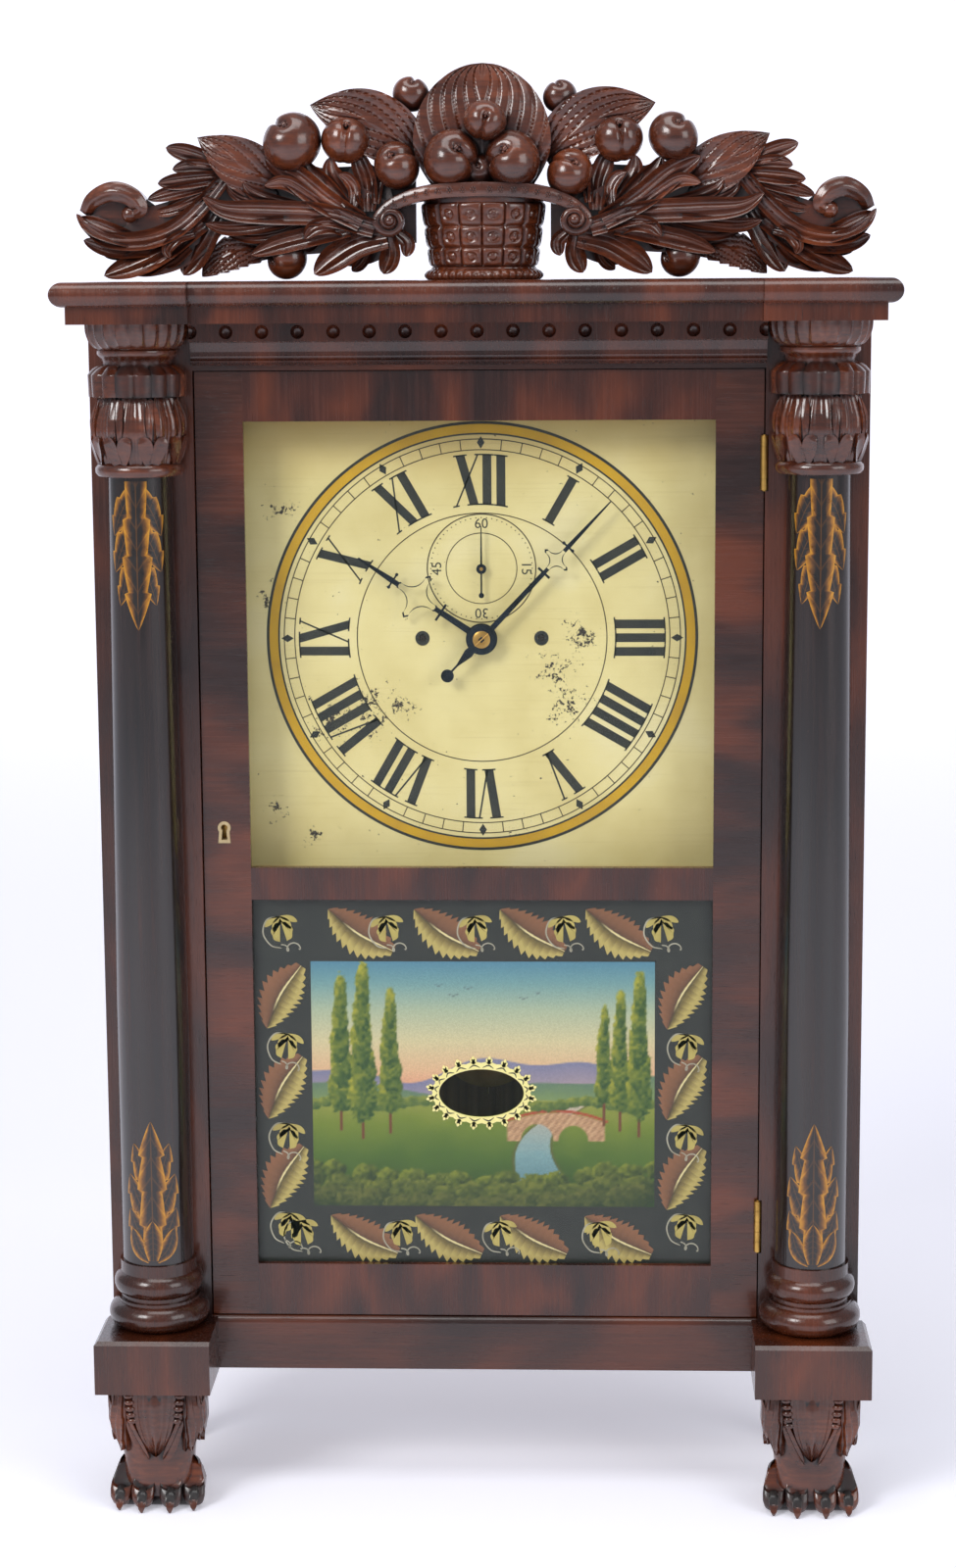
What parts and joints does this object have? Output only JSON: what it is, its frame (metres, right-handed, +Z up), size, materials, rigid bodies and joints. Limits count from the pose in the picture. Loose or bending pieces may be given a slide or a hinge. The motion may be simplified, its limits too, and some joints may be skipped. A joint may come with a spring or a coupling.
{
  "type": "shelf clock",
  "caption": "Tall shelf clock with carved columns, paw feet, a fruit-basket crest, and a hinged door with a clear pane over a painted one.",
  "frame": {"origin": "middle of the footprint at floor level", "axes": "+X to the viewer's right, -Y out of the dial, +Z up"},
  "size_m": [0.5444, 0.18, 0.9716],
  "materials": {
    "mahogany": "polished figured veneer",
    "mahogany_door": "polished crossbanded veneer",
    "carved_wood": "carved and polished",
    "painted_shaft": "dark paint with gilt stencil",
    "pine": "plain sawn",
    "dial_paint": "painted board",
    "clear_glass": "clear",
    "painted_glass": "reverse painted glass, stands as an opaque coat",
    "brass": "worn",
    "blued_steel": "blued",
    "steel": "plain",
    "iron": "cast",
    "bone": "pale liner",
    "cord": "braided"
  },
  "bodies": {
    "root": {"case_side_left": "mahogany", "case_side_right": "mahogany", "case_bottom": "pine", "case_top": "pine", "backboard": "pine", "front_stile_left": "mahogany", "front_stile_right": "mahogany", "face_rails": "mahogany", "frieze_moulding": "mahogany", "cornice_front": "mahogany", "cornice_corner_left": "mahogany", "cornice_corner_right": "mahogany", "crest_carving": "carved_wood", "column_left": "painted_shaft", "column_right": "painted_shaft", "capital_left": "carved_wood", "capital_right": "carved_wood", "column_bases": "mahogany", "plinth_blocks": "mahogany", "foot_left": "carved_wood", "foot_right": "carved_wood", "rear_feet": "mahogany", "movement_supports": "pine", "dial": "dial_paint", "hinge_leaves_case": "brass", "front_plate": "brass", "back_plate": "brass", "bell": "iron", "cord_runs": "cord"},
    "door": {"door_stile_hinge": "mahogany_door", "door_stile_lock": "mahogany_door", "door_top_rail": "mahogany_door", "door_middle_rail": "mahogany_door", "door_bottom_rail": "mahogany_door", "upper_glass": "clear_glass", "tablet_glass": "painted_glass", "glazing_beads": "pine", "lock_case": "brass", "escutcheon": "bone", "hinge_leaves_door": "brass"},
    "bolt": {"lock_bolt": "brass"},
    "minute_work": {"minute_hand": "blued_steel"},
    "hour_work": {"hour_hand": "blued_steel"},
    "motion_work": {"motion_wheel": "brass"},
    "seconds_work": {"seconds_hand": "blued_steel", "escape_wheel": "brass"},
    "third_work": {"third_wheel": "brass"},
    "centre_work": {"centre_wheel": "brass"},
    "great_work": {"great_wheel": "brass"},
    "time_drum": {"drum_time": "brass"},
    "strike_drum": {"drum_strike": "brass"},
    "time_weight": {"weight_time": "iron", "cord_drop_time": "cord"},
    "strike_weight": {"weight_strike": "iron", "cord_drop_strike": "cord"},
    "time_pulley": {"pulley_time": "pine"},
    "strike_pulley": {"pulley_strike": "pine"},
    "pendulum": {"pendulum": "brass"},
    "verge": {"verge": "steel"},
    "hammer": {"hammer": "steel"}
  },
  "joints": [
    {"name": "door_swing", "type": "hinge", "parent": "root", "child": "door", "pos_m": [0.18865, -0.0243, 0.4487], "axis": [0, 0, 1], "range_deg": [0, 95]},
    {"name": "bolt_slide", "type": "slide", "parent": "door", "child": "bolt", "axis": [-1, 0, 0], "range_m": [0, 0.006]},
    {"name": "minute_turn", "type": "hinge", "parent": "root", "child": "minute_work", "pos_m": [0, 0.014, 0.59205], "axis": [0, 1, 0], "continuous": true},
    {"name": "hour_turn", "type": "hinge", "parent": "root", "child": "hour_work", "pos_m": [0, 0.014, 0.59205], "axis": [0, 1, 0], "continuous": true},
    {"name": "motion_turn", "type": "hinge", "parent": "root", "child": "motion_work", "pos_m": [0, 0.021, 0.57045], "axis": [0, 1, 0], "continuous": true},
    {"name": "seconds_turn", "type": "hinge", "parent": "root", "child": "seconds_work", "pos_m": [0, 0.014, 0.63955], "axis": [0, 1, 0], "continuous": true},
    {"name": "third_turn", "type": "hinge", "parent": "root", "child": "third_work", "pos_m": [-0.01121, 0.031, 0.61857], "axis": [0, 1, 0], "continuous": true},
    {"name": "centre_turn", "type": "hinge", "parent": "root", "child": "centre_work", "pos_m": [0, 0.031, 0.59205], "axis": [0, 1, 0], "continuous": true},
    {"name": "great_turn", "type": "hinge", "parent": "root", "child": "great_work", "pos_m": [0.0405, 0.031, 0.59155], "axis": [0, 1, 0], "continuous": true},
    {"name": "time_weight_travel", "type": "slide", "parent": "root", "child": "time_weight", "axis": [0, 0, 1], "range_m": [-0.19, 0.215], "deforming": ["cord_drop_time"]},
    {"name": "time_drum_turn", "type": "hinge", "parent": "root", "child": "time_drum", "pos_m": [0.0405, 0.031, 0.59155], "axis": [0, 1, 0], "range_deg": [-714.1, 631.3]},
    {"name": "time_pulley_turn", "type": "hinge", "parent": "root", "child": "time_pulley", "pos_m": [0.18665, 0.052, 0.812], "axis": [0, 1, 0], "range_deg": [-714.1, 631.3]},
    {"name": "strike_weight_travel", "type": "slide", "parent": "root", "child": "strike_weight", "axis": [0, 0, 1], "range_m": [-0.19, 0.215], "deforming": ["cord_drop_strike"]},
    {"name": "strike_drum_turn", "type": "hinge", "parent": "root", "child": "strike_drum", "pos_m": [-0.0405, 0.031, 0.59155], "axis": [0, 1, 0], "range_deg": [-631.3, 714.1]},
    {"name": "strike_pulley_turn", "type": "hinge", "parent": "root", "child": "strike_pulley", "pos_m": [-0.18665, 0.052, 0.812], "axis": [0, 1, 0], "range_deg": [-631.3, 714.1]},
    {"name": "pendulum_swing", "type": "hinge", "parent": "root", "child": "pendulum", "pos_m": [0, 0.074, 0.69005], "axis": [0, 1, 0], "range_deg": [-2.5, 2.5]},
    {"name": "verge_rock", "type": "hinge", "parent": "root", "child": "verge", "pos_m": [0, 0.066, 0.66855], "axis": [0, 1, 0], "range_deg": [-4, 4]},
    {"name": "hammer_lift", "type": "hinge", "parent": "root", "child": "hammer", "pos_m": [-0.03, 0.031, 0.69005], "axis": [0, 1, 0], "range_deg": [0, 14]}
  ],
  "couplings": [
    {"joint": "motion_turn", "follows": "minute_turn", "ratio": -0.33333},
    {"joint": "hour_turn", "follows": "minute_turn", "ratio": 0.083333},
    {"joint": "third_turn", "follows": "seconds_turn", "ratio": -0.13333},
    {"joint": "centre_turn", "follows": "seconds_turn", "ratio": 0.016667},
    {"joint": "great_turn", "follows": "seconds_turn", "ratio": -0.0013889},
    {"joint": "time_drum_turn", "follows": "time_weight_travel", "rad_per_m": -57.803},
    {"joint": "time_pulley_turn", "follows": "time_weight_travel", "rad_per_m": -57.803},
    {"joint": "strike_drum_turn", "follows": "strike_weight_travel", "rad_per_m": 57.803},
    {"joint": "strike_pulley_turn", "follows": "strike_weight_travel", "rad_per_m": 57.803},
    {"joint": "verge_rock", "follows": "pendulum_swing", "ratio": 1.3805}
  ]
}
